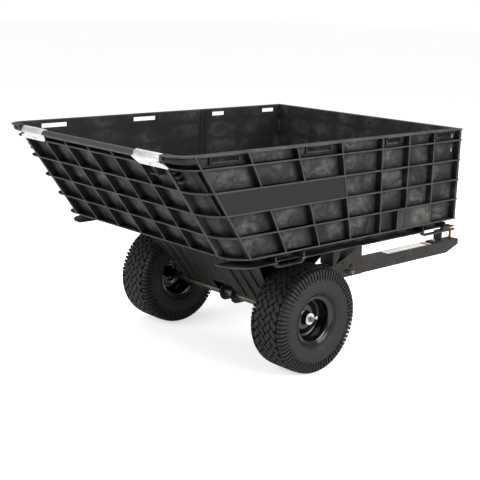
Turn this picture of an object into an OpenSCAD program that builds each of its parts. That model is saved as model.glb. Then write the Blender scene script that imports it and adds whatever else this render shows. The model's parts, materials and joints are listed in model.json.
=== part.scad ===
// Tow-behind dump cart: ribbed moulded tub on a fluted steel underframe, two turf wheels on one
// axle and a drawbar with a pin hitch.
// Every shape is drawn with the axle centre at x = 0, the ground at z = 0, +x towards the hitch
// and +y to the left. to_row() then moves it so that the origin is under the middle of the cart.

/* [Tub] */
// Width over the side ribs
tub_w = 978; // [820:1:1150]
// Height of the tub walls
wall_h = 348; // [290:1:420]
// Height of the rim above the ground
rim_z = 826; // [780:1:900]
// Front face of the tub, ahead of the axle
front_x = 707; // [620:1:780]
// Foot of the tailgate, behind the axle
tail_foot = 428; // [380:1:480]
// Lean of the tailgate from upright, degrees
tail_lean = 35.3; // [25:0.1:40]
// How far the outside ribs stand off the wall skin
rib_d = 24; // [16:1:32]
// Thickness of a rib
rib_t = 5; // [4:0.5:7]
// Thickness of the wall skin
skin_t = 5; // [3:0.5:7]
// Outside radius of the rear corners, square to the slope
corner_r = 68; // [50:1:85]
// From the tub's side to the seam of the tailgate
seam_in = 94; // [88:1:110]
// Gap between the tailgate and the side walls
seam_gap = 1; // [0.5:0.1:3]

/* [Base] */
// Thickness of the floor
floor_t = 6; // [4:0.5:10]
// Depth of the base below the walls
base_d = 30; // [24:1:40]
// How far the hand loops hang below the base
loop_d = 15; // [13:1:30]

/* [Wheels] */
// Tyre diameter
tyre_d = 384; // [350:1:400]
// Tyre width
tyre_w = 160; // [150:1:168]
// Width of the rim over its lips
rim_w = 124; // [116:1:130]
// Distance between the wheel centres
track = 745; // [735:1:800]
// Bead seat diameter of the rim
rim_d = 152.4; // [140:0.1:160]
// Axle diameter
axle_d = 19.05; // [16:0.05:22]

/* [Drawbar] */
// Front end of the drawbar, ahead of the axle
tip_x = 1405; // [1360:1:1500]
// Outside width of the drawbar bracket
bracket_w = 64; // [58:1:74]
// Height of the drawbar channel
bar_h = 56; // [50:1:60]
// Underside of the drawbar above the ground
bar_z = 158; // [154:1:164]
// Thickness of the drawbar steel
steel_t = 3; // [2.5:0.1:4]
// Hitch pin diameter
pin_d = 12.7; // [10:0.1:16]
// Height of the gap that takes the tractor's drawbar
hitch_gap = 43; // [38:1:56]

/* [Clearances] */
// Radial clearance of a running fit
run_fit = 0.08; // [0.02:0.01:0.1]
// Clearance between neighbours that slide or turn past each other
slide_fit = 0.4; // [0.3:0.05:1]

/* [Hidden] */
$fn = 64;
EPS = 0.01;
FAR = 3000;

// Tub
half_w = tub_w / 2;
wall_z = rim_z - wall_h;
row_pitch = wall_h * 0.2172;
row_z = [for (k = [0:4]) wall_z + k * row_pitch];
side_end = front_x - 11;
skin_out = rib_d;
skin_in = rib_d + skin_t;
seam_y = half_w - seam_in;
function tail_x(z) = -tail_foot - (z - wall_z) * tan(tail_lean);
rear_x = tail_x(rim_z);
x_mid = (tip_x + rear_x) / 2;

// Upright ribs of a side wall: [bottom x, top x]. They fan out from upright to the tailgate's lean.
rib_feet = [for (k = [0:4]) front_x - 1079 + k * 156];
rib_fan = [for (k = [0:4]) 212 - k * 50];
short_ribs = [front_x - 312, front_x - 167];
// Hand slots: [rear end, front end]
slot_spans = [[-536, -422], [-122, -8], [284, 358], [572, 649]];
slot_h = 17;
slot_z = rim_z - 28;
frame_t = 4;
frame_d = 7;
badge_in = 5;

// Tailgate top tube, in the tailgate's own sloping frame
tube_r = 11.5;
tube_in = tube_r;
bracket_t = 2.5;
tube_s = (wall_h - tube_r - slide_fit - bracket_t - 1 - tube_in * sin(tail_lean)) / cos(tail_lean);
tail_pitch = (seam_y - 2) / 3;

// Axle and wheels
axle_z = tyre_d / 2;
axle_r = axle_d / 2;
wheel_y = track / 2;
bush_r = axle_r + 3.5;
hub_r = bush_r + 5;
hub_in = 50;
hub_out = 30;
flange_t = 2.5;
washer_y = wheel_y + hub_out + flange_t + slide_fit;
washer_t = 2.5;
split_y = washer_y + washer_t + 3.4;
axle_half = split_y + 8;

// Underframe
base_z = wall_z - base_d;
carrier_t = 3;
carrier_run = 57 / 74.5;
carrier_top = base_z - carrier_t;
sleeve_r = 16;
sleeve_in = bracket_w / 2 + 24;
sleeve_out = 258;
notch_w = 110;
carrier_foot = 52;

// Drawbar
bar_top = bar_z + bar_h;
gusset_x0 = 540;
gusset_x1 = 708;
gusset_z = bar_top + 68;
inner_w = bracket_w - 2 * steel_t - 2 * slide_fit;
bar_x0 = gusset_x0 + 57;
post_x = 525;
striker = [596, bar_top + 8];
striker_r = 6;
lock_x = bar_x0 + 24;
lock_z = bar_z + 25;
pivot_x = bar_x0 + 50;
pivot_z = bar_z + bar_h - 13;
lock_r = 5;
bolt_r = 5;
side_holes = [tip_x - 413, tip_x - 240];
hitch_x = tip_x - 30;
plate_t = 6;
plate_z = bar_top + hitch_gap;
foot_x = tip_x - 127;

module to_row() { translate([-x_mid, 0, 0]) children(); }
module both() { children(); mirror([0, 1, 0]) children(); }
// The tailgate's frame: z runs up the slope, x runs into the tub
module on_slope() { translate([-tail_foot, 0, wall_z]) rotate([0, -tail_lean, 0]) children(); }
module slab(z0, z1) { translate([-FAR / 2, -FAR / 2, z0]) cube([FAR, FAR, z1 - z0]); }
// A prism across the cart, from an outline in x and z
module across(y0, y1) { translate([0, y1, 0]) rotate([90, 0, 0]) linear_extrude(y1 - y0) children(); }
module bar_y(x, z, r, y0, y1) { translate([x, y0, z]) rotate([-90, 0, 0]) cylinder(r = r, h = y1 - y0); }
module bar_z(x, y, r, z0, z1) { translate([x, y, z0]) cylinder(r = r, h = z1 - z0); }
module hex_head(size, h) { cylinder(d = size / cos(30), h = h, $fn = 6); }
module block(x0, x1, y0, y1, z0, z1) { translate([x0, y0, z0]) cube([x1 - x0, y1 - y0, z1 - z0]); }

// ---- Side walls -------------------------------------------------------------------------------
// Plan of the right-hand wall and its corner between two depths in from the outside, seen along
// the slope
module wall_plan(d0, d1) {
    cy = half_w - corner_r;
    translate([d0, -cy]) square([d1 - d0, cy - seam_y]);
    translate([corner_r, -half_w + d0]) square([FAR, d1 - d0]);
    intersection() {
        translate([corner_r, -cy]) difference() {
            circle(r = corner_r - d0, $fn = 96);
            circle(r = corner_r - d1, $fn = 96);
        }
        translate([0, -half_w]) square([corner_r, corner_r]);
    }
}
module wall_band(d0, d1, z0, z1) {
    intersection() {
        on_slope() translate([0, 0, -FAR / 2]) linear_extrude(FAR) wall_plan(d0, d1);
        block(-FAR / 2, side_end, -FAR / 2, 0, z0, z1);
    }
}
module upright_rib(xb, xt, z0, z1, in = 0) {
    slope = (xt - xb) / (row_z[4] - wall_z);
    across(-half_w + in, -half_w + skin_out + EPS)
        polygon([[xb + slope * (z0 - wall_z), z0], [xb + slope * (z0 - wall_z) + rib_t, z0],
            [xb + slope * (z1 - wall_z) + rib_t, z1], [xb + slope * (z1 - wall_z), z1]]);
}
module slot_frame(span) {
    block(span[0] - frame_t, span[1] + frame_t, -half_w + skin_out - frame_d, -half_w + skin_out + EPS,
        slot_z - frame_t, slot_z + slot_h + frame_t);
}
// Strap holes near the front edge, through the wall and the front panel's end
strap_z = [row_z[4] + 14, row_z[3] + 38];
strap_h = 17;
fold_x = [front_x - 489, front_x - 464];
module side_wall() {
    difference() {
        union() {
            wall_band(skin_out, skin_in, wall_z, rim_z);
            for (z = row_z) wall_band(0, skin_in, z, z + rib_t);
            wall_band(0, skin_in, rim_z - rib_t, rim_z);
            for (k = [0, 3, 4]) upright_rib(rib_feet[k], rib_feet[k] - rib_fan[k], wall_z, rim_z);
            // the two ribs behind the badge are cut back in its row
            for (k = [1, 2], part = [[wall_z, row_z[2] + rib_t, 0], [row_z[2], row_z[3] + rib_t, badge_in],
                [row_z[3], rim_z, 0]])
                upright_rib(rib_feet[k], rib_feet[k] - rib_fan[k], part[0], part[1], part[2]);
            for (x = short_ribs) upright_rib(x, x - 6, wall_z, rim_z);
            upright_rib(front_x - 359, front_x - 359, wall_z, row_z[1]);
            upright_rib(side_end - rib_t, side_end - rib_t, wall_z, rim_z);
            for (span = slot_spans) slot_frame(span);
            // low ridge where the wall starts to turn into the corner
            upright_rib(rib_feet[0] - 17, rib_feet[0] - 17 - rib_fan[0], row_z[2], row_z[4], rib_d - 6);
            // flush cover over the bottom row's front cells
            block(front_x - 359, short_ribs[1], -half_w + 2, -half_w + skin_out + EPS, wall_z, row_z[1] + rib_t);
            // teeth of the corner fastening, beside the seam
            intersection() {
                for (k = [0:2]) on_slope() translate([5, -seam_y - 30 + 5 * k, 310 + 19 * k])
                    cube([skin_out - 4, 26 - 5 * k, 8]);
                slab(wall_z, rim_z);
            }
            // end of the corner, along the tailgate seam
            intersection() {
                on_slope() translate([0, -seam_y - rib_t, -100]) cube([skin_in, rib_t, 900]);
                slab(wall_z, rim_z);
            }
        }
        for (span = slot_spans)
            block(span[0], span[1], -half_w - 1, -half_w + skin_in + 1, slot_z, slot_z + slot_h);
        for (z = strap_z) block(side_end - 23, side_end - 11, -half_w + skin_out - 1, -half_w + skin_in + 1,
            z - strap_h / 2, z + strap_h / 2);
        // two folds on the inside
        for (x = fold_x) block(x - 3, x + 3, -half_w + skin_in - 2.4, -half_w + skin_in + 1,
            wall_z + 24, rim_z - 10);
    }
}
function badge_x(k, z) = rib_feet[k] - rib_fan[k] * (z - wall_z) / (row_z[4] - wall_z);
module badge_outline(inset) {
    z0 = row_z[2] + rib_t + inset;
    z1 = row_z[3] - inset;
    polygon([[badge_x(0, z0) + rib_t + inset, z0], [badge_x(3, z0) - inset, z0],
        [badge_x(3, z1) - inset, z1], [badge_x(0, z1) + rib_t + inset, z1]]);
}
module badge() { across(-half_w + 1.5, -half_w + badge_in) badge_outline(0.5); }

module side_wall_right() { color("#2b2b2c") side_wall(); }
module side_wall_left() { color("#2b2b2c") mirror([0, 1, 0]) side_wall(); }
module badge_right() { color("#38383c") badge(); }
module badge_left() { color("#38383c") mirror([0, 1, 0]) badge(); }

// ---- Front panel ------------------------------------------------------------------------------
panel_y = half_w - skin_in - slide_fit;
module front_panel() {
    wing_x = side_end + slide_fit;
    color("#2b2b2c") {
        difference() {
            union() {
                block(front_x - skin_in, front_x - skin_out, -panel_y, panel_y, wall_z, rim_z);
                for (z = concat(row_z, [rim_z - rib_t])) {
                    block(front_x - skin_in, front_x, -panel_y, panel_y, z, z + rib_t);
                    block(wing_x, front_x, -half_w, half_w, z, z + rib_t);
                }
                for (k = [-3:3]) block(front_x - skin_in, front_x, k * tail_pitch - rib_t / 2,
                    k * tail_pitch + rib_t / 2, wall_z, rim_z);
                both() {
                    block(front_x - skin_in, front_x, panel_y - rib_t, panel_y, wall_z, rim_z);
                    block(wing_x, wing_x + rib_t, panel_y - rib_t, half_w, wall_z, rim_z);
                }
            }
            both() for (z = strap_z) block(front_x - skin_out, front_x - 4, panel_y - rib_t - 1, panel_y + 1,
                z - strap_h / 2, z + strap_h / 2);
        }
    }
}

// ---- Tailgate ---------------------------------------------------------------------------------
gate_y = seam_y - seam_gap;
gate_z = wall_z + slide_fit;
gate_top = rim_z - 12;
gate_rib_top = rim_z - 26;
module gate_slab(x0, x1, y0, y1, z0, z1) {
    intersection() {
        on_slope() translate([x0, y0, -100]) cube([x1 - x0, y1 - y0, 900]);
        slab(z0, z1);
    }
}
// z points out of the tailgate along the bolt that holds a bracket
module bracket_bolt_axis() { translate([0, -seam_y + 73, tube_s - 18]) rotate([0, -90, 0]) children(); }
module tailgate() {
    color("#2b2b2c") difference() {
        union() {
            gate_slab(skin_out, skin_in, -gate_y, gate_y, gate_z, gate_top);
            gate_slab(0, skin_in, -gate_y, gate_y, gate_z, gate_z + rib_t);
            for (k = [1:4]) gate_slab(0, skin_in, -gate_y, gate_y, row_z[k], row_z[k] + rib_t);
            for (k = [-2:2]) gate_slab(0, skin_in, k * tail_pitch - rib_t / 2,
                k * tail_pitch + rib_t / 2, gate_z, gate_rib_top);
            both() gate_slab(0, skin_in, gate_y - rib_t, gate_y, gate_z, gate_rib_top);
            // catch of the corner fastening, under the right bracket
            gate_slab(0, skin_in, -seam_y + 65, -seam_y + 105, row_z[4] - 31, row_z[4] - 28);
            gate_slab(0, skin_in, -seam_y + 65, -seam_y + 68, row_z[4] - 31, row_z[4] + 1);
            on_slope() both() bracket_bolt_axis() translate([0, 0, -skin_in]) cylinder(r = 9, h = skin_in);
        }
        on_slope() {
            bar_y(tube_in, tube_s, tube_r, -gate_y - 1, gate_y + 1);
            both() bracket_bolt_axis() translate([0, 0, -skin_out]) cylinder(r = 4.2, h = skin_out + 1);
        }
    }
}
module tailgate_tube() {
    color("#6f7073") on_slope() difference() {
        bar_y(tube_in, tube_s, tube_r - EPS, -gate_y, gate_y);
        bar_y(tube_in, tube_s, tube_r - 2, -gate_y - 1, gate_y + 1);
    }
}
// Right-hand bracket: a plate over the outside of the tailgate's top corner that wraps the tube
module tailgate_bracket() {
    out_x = -slide_fit;
    s = tube_s;
    difference() {
        union() {
            rotate([0, -90, 0]) translate([0, 0, -out_x]) linear_extrude(bracket_t)
                polygon([for (p = [[2, 149], [-8, 146], [-24, 131], [-27, 120], [-27, -7], [-25, -14],
                    [-21, -16], [-16, -12], [-11, 0], [-7, 12], [-5, 23], [2, 23]]) [s + p[0], p[1] - seam_y]]);
            intersection() {
                difference() {
                    bar_y(tube_in, s, tube_r + slide_fit + bracket_t, -seam_y + 11, -seam_y + 137);
                    bar_y(tube_in, s, tube_r + slide_fit, -seam_y + 10, -seam_y + 138);
                }
                block(-40, tube_in + 20, -half_w, 0, s, s + 40);
            }
        }
        bar_y(tube_in, s, tube_r + slide_fit, -half_w, 0);
        bracket_bolt_axis() translate([0, 0, -1]) cylinder(r = 4.2, h = 20);
    }
}
module tailgate_bracket_right() { color("#d8d8d4") on_slope() tailgate_bracket(); }
module tailgate_bracket_left() { color("#d8d8d4") on_slope() mirror([0, 1, 0]) tailgate_bracket(); }
module tailgate_bolts() {
    color("#c9c9c6") on_slope() both() bracket_bolt_axis() {
        translate([0, 0, slide_fit + bracket_t]) cylinder(r = 6.5, h = 2.5);
        translate([0, 0, -skin_out]) cylinder(r = 4, h = skin_out + slide_fit + bracket_t + EPS);
    }
}

// ---- Corner pins and wall screws --------------------------------------------------------------
// Hinge pins stand inside the front corners; two to a corner, one above the other
pin_len = 46;
module corner_hinge_pins() {
    color("#1d1d1e") both() for (z = [wall_z + 70, rim_z - 110])
        bar_z(front_x - skin_in - 6.3, half_w - skin_in - 6.3, 6, z, z + pin_len);
}
// Screws that hold the side walls' front edges to the base
module wall_screws() {
    color("#8d8d8b") both() for (x = [-300, -80, 140, 360, 580])
        translate([x, half_w - skin_in - 5.5, wall_z]) cylinder(r = 5, h = 4);
}

// ---- Base -------------------------------------------------------------------------------------
module base_plan(inset, rear_in) {
    r = corner_r + 24 - inset;
    x0 = -tail_foot + rear_in;
    y = half_w - 4 - inset;
    translate([x0 + r, -y]) square([front_x - inset - x0 - r, 2 * y]);
    translate([x0, -y + r]) square([r + 1, 2 * (y - r)]);
    for (s = [-1, 1]) translate([x0 + r, s * (y - r)]) circle(r = r, $fn = 96);
}
module base_ring(inset0, inset1, rear0, rear1, z0, z1) {
    translate([0, 0, z0]) linear_extrude(z1 - z0) difference() {
        base_plan(inset0, rear0);
        base_plan(inset1, rear1);
    }
}
// Hand loops hang under the lip of the base, two to a side
loop_spans = [[-258, -127], [513, 648]];
module hand_loops() {
    z = base_z;
    bar = 6;
    color("#242425") both() for (span = loop_spans) across(-half_w + 4, -half_w + 20)
        polygon([[span[0] - 10, z], [span[0] + 10, z - loop_d], [span[1] - 10, z - loop_d], [span[1] + 10, z],
            [span[1] - bar, z], [span[1] - 10 - bar, z - loop_d + bar],
            [span[0] + 10 + bar, z - loop_d + bar], [span[0] + bar, z]]);
}
module bed_base() {
    lip_t = 4;
    floor_in = 20;
    wall_in = 46;
    rear_in = 96;
    rear_open = seam_y - 14;
    color("#242425") {
        difference() {
            union() {
                translate([0, 0, wall_z - floor_t]) linear_extrude(floor_t)
                    base_plan(floor_in, floor_in);
                base_ring(wall_in, wall_in + 4, rear_in, rear_in + 4, base_z, wall_z - floor_t + EPS);
                difference() {
                    base_ring(0, wall_in + 1, 0, rear_in + 1, base_z, base_z + lip_t);
                    block(-FAR, -tail_foot + rear_in, -rear_open, rear_open, base_z - 1, base_z + lip_t + 1);
                }
                for (y = [-300, -150, 0, 150, 300])
                    block(-tail_foot + rear_in + 2, front_x - wall_in - 2, y - 2, y + 2,
                        base_z, wall_z - floor_t + EPS);
                for (x = [-200, 0, 200, 400, 600])
                    block(x - 2, x + 2, -half_w + wall_in + 6, half_w - wall_in - 6,
                        base_z, wall_z - floor_t + EPS);
                both() for (x = concat(loop_spans[0], loop_spans[1]))
                    block(x - 2, x + 2, -half_w + 5, -half_w + wall_in + 6,
                        base_z + lip_t - EPS, wall_z - floor_t + EPS);
            }
            // windows above the hand loops
            both() for (span = loop_spans)
                block(span[0] + 10, span[1] - 10, -half_w + 3, -half_w + 20, base_z - 1, base_z + lip_t + 1);
        }
    }
}

// ---- Underframe -------------------------------------------------------------------------------
// The carrier's frame: z runs down the slope from the bed to the axle, y across, x out of the V
carrier_x = carrier_foot - 32;
carrier_len = (carrier_top - axle_z - 6) * sqrt(1 + carrier_run * carrier_run);
carrier_lean = atan(carrier_run);
carrier_head = carrier_x + (carrier_top - axle_z - 6) * carrier_run;
module on_carrier() {
    translate([-carrier_head, 0, carrier_top]) rotate([0, 180 - carrier_lean, 0]) children();
}
module carrier_panel() {
    half_top = 334;
    half_foot = 236;
    flute_y = [113, 172, 231];
    difference() {
        union() {
            on_carrier() rotate([0, 90, 0]) translate([0, 0, -carrier_t]) linear_extrude(carrier_t)
                polygon([[0, -half_top], [0, half_top], [-carrier_len, half_foot], [-carrier_len, -half_foot]]);
            for (s = [-1, 1], y = flute_y)
                on_carrier() translate([0, s * y, 12]) cylinder(r = 6, h = carrier_len - 34);
            block(-carrier_head - 46, -carrier_head + 2, -half_top, half_top, carrier_top, base_z);
        }
        block(-carrier_foot - 60, 60, -notch_w / 2, notch_w / 2, 0, max(axle_z + 47, bar_top + 25));
        bar_y(0, axle_z, sleeve_r, -half_w, half_w);
        for (y = bolt_ys) bar_z(-carrier_head - 24, y, 4.5, base_z - 10, base_z + 1);
    }
}
bolt_ys = [-255, -75, 75, 255];
module rear_carrier() { color("#35322f") carrier_panel(); }
module front_carrier() { color("#35322f") mirror([1, 0, 0]) carrier_panel(); }
// Side plates that close the V between the two carriers, just inside their sloping edges
module carrier_braces() {
    z0 = axle_z + 8;
    z1 = axle_z + 96;
    inner = carrier_t / cos(carrier_lean) + 0.3;
    reach = carrier_x + (z1 - axle_z - 6) * carrier_run - inner;
    foot = carrier_x + (z0 - axle_z - 6) * carrier_run - inner;
    color("#35322f") both() difference() {
        across(-203, -200) polygon([[-foot, z0], [-reach, z1], [reach, z1], [foot, z0]]);
        bar_y(0, axle_z, sleeve_r + run_fit / 2, -half_w, half_w);
        bar_y(0, z1, 30, -half_w, half_w);
    }
}
module carrier_sleeves() {
    color("#4a4744") both() difference() {
        bar_y(0, axle_z, sleeve_r - EPS, sleeve_in, sleeve_out);
        bar_y(0, axle_z, axle_r + run_fit, 0, half_w);
    }
}
module carrier_bolts() {
    color("#9a9a98") for (s = [-1, 1], y = bolt_ys) translate([s * (carrier_head + 24), y, carrier_top]) {
        translate([0, 0, -5.3]) hex_head(13, 5.3);
        cylinder(r = 4, h = carrier_t + 8);
    }
}
// Post under the bed that comes down over the drawbar bracket
module latch_post() {
    half_top = 48;
    half_foot = bracket_w / 2 + 4;
    foot_z = bar_top + 6;
    knee_z = bar_top + 90;
    leg = 40;
    color("#423d38") difference() {
        union() {
            // rear plate, wider at the top
            translate([post_x, 0, 0]) rotate([90, 0, 90]) linear_extrude(carrier_t)
                polygon([[-half_foot, foot_z], [half_foot, foot_z], [half_foot, knee_z],
                    [half_top, base_z], [-half_top, base_z], [-half_foot, knee_z]]);
            both() across(half_foot - carrier_t, half_foot) polygon([[post_x, foot_z], [post_x + 12, foot_z],
                [post_x + leg, foot_z + 34], [post_x + leg, base_z - 20], [post_x, base_z - 20]]);
            block(post_x - 40, post_x + 30, -half_top, half_top, base_z - carrier_t, base_z);
        }
        bar_y(lever_pivot[0], lever_pivot[1], 5.2, -half_w, half_w);
        for (y = [-28, 28]) bar_z(post_x - 24, y, 4.5, base_z - 10, base_z + 1);
    }
}
module latch_post_bolts() {
    color("#9a9a98") for (y = [-28, 28]) translate([post_x - 24, y, base_z - carrier_t]) {
        translate([0, 0, -5.3]) hex_head(13, 5.3);
        cylinder(r = 4, h = carrier_t + 8);
    }
}
// Dump latch: a lever hung in the post. Its jaw stands against the striker pin and its tail,
// under the front of the bed, is pulled up to free the bed
lever_pivot = [post_x + 21, bar_top + 90];
lever_half = 9;
module latch_lever() {
    p = lever_pivot;
    jaw_x = striker[0] + striker_r + slide_fit;
    color("#77746f") difference() {
        union() {
            across(-lever_half, -lever_half + 4) lever_outline(jaw_x);
            across(lever_half - 4, lever_half) lever_outline(jaw_x);
            block(p[0] + 104, p[0] + 144, -lever_half, lever_half, p[1] + 38, p[1] + 43);
            bar_y(p[0], p[1], 11, -lever_half, lever_half);
        }
        bar_y(p[0], p[1], 5 + run_fit, -half_w, half_w);
    }
}
module lever_outline(jaw_x) {
    p = lever_pivot;
    polygon([[p[0] - 11, p[1] - 2], [p[0] - 8, p[1] + 12], [p[0] + 12, p[1] + 16], [p[0] + 94, p[1] + 43],
        [p[0] + 144, p[1] + 43], [p[0] + 144, p[1] + 33], [p[0] + 102, p[1] + 31], [p[0] + 50, p[1] + 4],
        [jaw_x + 16, p[1] - 24], [jaw_x + 12, bar_top + 6], [jaw_x, bar_top + 2], [jaw_x, p[1] - 50],
        [p[0] + 14, p[1] - 16]]);
}
module latch_lever_pin() {
    half = bracket_w / 2 + 4;
    color("#b9b9b5") {
        bar_y(lever_pivot[0], lever_pivot[1], 5, -half - 5, half + 5);
        both() bar_y(lever_pivot[0], lever_pivot[1], 8, half + 0.2, half + 5);
    }
}
// Torsion spring round the lever's pin, beside the lever
module latch_spring() {
    wire = 1.6;
    color("#4d4d4f") for (k = [0:4]) translate([lever_pivot[0], lever_half + 2 + k * 2 * wire, lever_pivot[1]])
        rotate([-90, 0, 0]) rotate_extrude($fn = 48) translate([7.2, wire]) circle(r = wire, $fn = 16);
}

// ---- Drawbar bracket --------------------------------------------------------------------------
gusset_tip = 6;
module bracket_side() {
    lug_r = axle_z - bar_z;
    polygon([[0, bar_z], [gusset_x1 + 6, bar_z], [gusset_x1, gusset_z - 4], [gusset_x1 - gusset_tip, gusset_z],
        [gusset_x0, bar_top + 4], [0, bar_top + 4]]);
    translate([0, axle_z]) circle(r = lug_r);
}
module drawbar_bracket() {
    half = bracket_w / 2;
    rise = atan((gusset_z - bar_top - 4) / (gusset_x1 - gusset_tip - gusset_x0));
    color("#3f3b37") difference() {
        union() {
            both() across(half - steel_t, half) bracket_side();
            block(60, gusset_x0, -half + EPS, half - EPS, bar_top + 4 - steel_t, bar_top + 4);
            intersection() {
                translate([gusset_x0, 0, bar_top + 4]) rotate([0, -rise, 0])
                    block(82, 180, -half + EPS, half - EPS, -steel_t, 0);
                block(0, gusset_x1, -half, half, 0, gusset_z);
            }
        }
        bar_y(0, axle_z, axle_r + run_fit / 2, -half_w, half_w);
        bar_y(striker[0], striker[1], striker_r + run_fit / 2, -half_w, half_w);
        bar_y(lock_x, lock_z, lock_r + run_fit, -half_w, half_w);
        bar_y(pivot_x, pivot_z, bolt_r + 0.2, -half_w, half_w);
        // notch in the sloping web, where the latch's jaw swings
        block(gusset_x0 + 60, striker[0] + striker_r + 40, -lever_half - 4, lever_half + 4, bar_top + 10, rim_z);
    }
}
module striker_pin() {
    color("#b9b9b5") bar_y(striker[0], striker[1], striker_r, -bracket_w / 2 - 2, bracket_w / 2 + 2);
}

// ---- Drawbar and hitch ------------------------------------------------------------------------
module drawbar_side() {
    polygon([[bar_x0, bar_z], [tip_x - 85, bar_z], [tip_x, bar_top - 26], [tip_x, bar_top],
        [bar_x0, bar_top]]);
}
module drawbar() {
    half = inner_w / 2;
    color("#3d3a37") difference() {
        union() {
            both() across(half - steel_t, half) drawbar_side();
            block(bar_x0, tip_x, -half + EPS, half - EPS, bar_top - steel_t, bar_top);
        }
        bar_y(lock_x, lock_z, lock_r + run_fit, -half_w, half_w);
        bar_y(pivot_x, pivot_z, bolt_r + 0.2, -half_w, half_w);
        for (x = side_holes) bar_y(x, bar_z + 28, 5, -half_w, half_w);
        // drain notches in the top edges
        for (x = [tip_x - 513, tip_x - 283]) block(x - 3, x + 3, -half_w, half_w, bar_top - 4, bar_top + 1);
        bar_z(hitch_x, 0, pin_d / 2 + run_fit, 0, rim_z);
        bar_z(foot_x - 28, 0, 4.3, 0, rim_z);
    }
}
module drawbar_bolts() {
    out = bracket_w / 2;
    color("#232323") {
        bar_y(pivot_x, pivot_z, bolt_r, -out - EPS, out + 10);
        bar_y(pivot_x, pivot_z, 8, -out - 4, -out);
        translate([pivot_x, out, pivot_z]) rotate([-90, 0, 0]) hex_head(16, 8);
    }
}
module drawbar_label() {
    color("#e4e2df") block(tip_x - 508, tip_x - 200, -22, 22, bar_top, bar_top + 0.5);
}
module hitch_bracket() {
    half = 22;
    color("#3b3937") difference() {
        union() {
            block(foot_x - 56, foot_x + plate_t, -half, half, bar_top, bar_top + plate_t);
            block(foot_x, foot_x + plate_t, -half, half, bar_top, plate_z + plate_t);
            block(foot_x, hitch_x - 2, -half, half, plate_z, plate_z + plate_t);
            bar_z(hitch_x - 2, 0, half, plate_z, plate_z + plate_t);
        }
        bar_z(hitch_x, 0, pin_d / 2 + run_fit, plate_z - 1, rim_z);
        bar_z(foot_x - 28, 0, 4.3, 0, rim_z);
    }
}
module hitch_bracket_bolts() {
    color("#8d8d8b") translate([foot_x - 28, 0, 0]) {
        translate([0, 0, bar_top + plate_t]) hex_head(13, 5.3);
        translate([0, 0, bar_top - steel_t - 6.5]) hex_head(13, 6.5);
        translate([0, 0, bar_top - steel_t - 7]) cylinder(r = 4, h = plate_t + steel_t + 9);
    }
}
module hitch_pin() {
    color("#c8a24a") {
        bar_z(hitch_x, 0, pin_d / 2, bar_top - 34, plate_z + plate_t + 4);
        bar_z(hitch_x, 0, 11, plate_z + plate_t, plate_z + plate_t + 4);
        bar_z(hitch_x, 0, 7, plate_z + plate_t + 4 - EPS, plate_z + plate_t + 9);
    }
}
clip_y = -bracket_w / 2 - 9;
clip_wire = 1.4;
clip_eye = [lock_x + 30, lock_z - 8];
clip_nose = [lock_x, lock_z] - 15 * (clip_eye - [lock_x, lock_z]) / norm(clip_eye - [lock_x, lock_z]);
clip_neck = clip_eye - 5.2 * (clip_eye - [lock_x, lock_z]) / norm(clip_eye - [lock_x, lock_z]);
clip_tail = [lock_x + 12, lock_z - 50];
module rod(a, b, r, y) {
    d = b - a;
    translate([a[0], y, a[1]]) rotate([0, 90 - atan2(d[1], d[0]), 0]) cylinder(r = r, h = norm(d));
}
module lock_pin() {
    half = bracket_w / 2;
    color("#b99a52") difference() {
        union() {
            bar_y(lock_x, lock_z, lock_r, clip_y - 5, half + 7);
            bar_y(lock_x, lock_z, 8, -half - 4.5, -half - 0.5);
        }
        rod(clip_nose, clip_neck, clip_wire + 0.25, clip_y);
    }
}
module lock_clip() {
    color("#c8ab5c") {
        rod(clip_nose, clip_neck, clip_wire, clip_y);
        translate([clip_eye[0], clip_y, clip_eye[1]]) rotate([90, 0, 0])
            rotate_extrude($fn = 48) translate([6, 0]) circle(r = clip_wire, $fn = 16);
        rod([clip_eye[0] - 5, clip_eye[1] - 3.4], clip_tail, clip_wire, clip_y);
    }
}

// ---- Axle and wheels --------------------------------------------------------------------------
module axle_tube(y0, y1, r) {
    difference() {
        bar_y(0, axle_z, r, y0, y1);
        bar_y(0, axle_z, axle_r + run_fit / 2, y0 - 1, y1 + 1);
    }
}
module axle() {
    color("#8f8f8d") difference() {
        bar_y(0, axle_z, axle_r, -axle_half, axle_half);
        for (s = [-1, 1]) translate([-half_w, s * split_y, axle_z]) rotate([0, 90, 0]) cylinder(r = 2.3, h = tub_w);
    }
}
module axle_spacers() {
    half = bracket_w / 2;
    gap = 0.3;
    color("#9b9890") {
        axle_tube(-half + steel_t + gap, half - steel_t - gap, 14);
        both() {
            axle_tube(half + gap, sleeve_in - gap, 14);
            axle_tube(sleeve_out + gap, wheel_y - hub_in - flange_t - gap, 14);
        }
    }
}
module axle_washers() { color("#d5d5d2") both() axle_tube(washer_y, washer_y + washer_t, 21); }
module split_pin() {
    translate([0, split_y, axle_z]) {
        translate([-14, 0, 0]) rotate([0, 90, 0]) cylinder(r = 2.1, h = 38);
        translate([27.6, 0, 0]) rotate([90, 0, 0]) rotate_extrude($fn = 48) translate([4.2, 0])
            circle(r = 1.6, $fn = 16);
    }
}
module split_pin_left() { color("#c9c9c6") split_pin(); }
module split_pin_right() { color("#c9c9c6") mirror([0, 1, 0]) split_pin(); }

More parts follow.
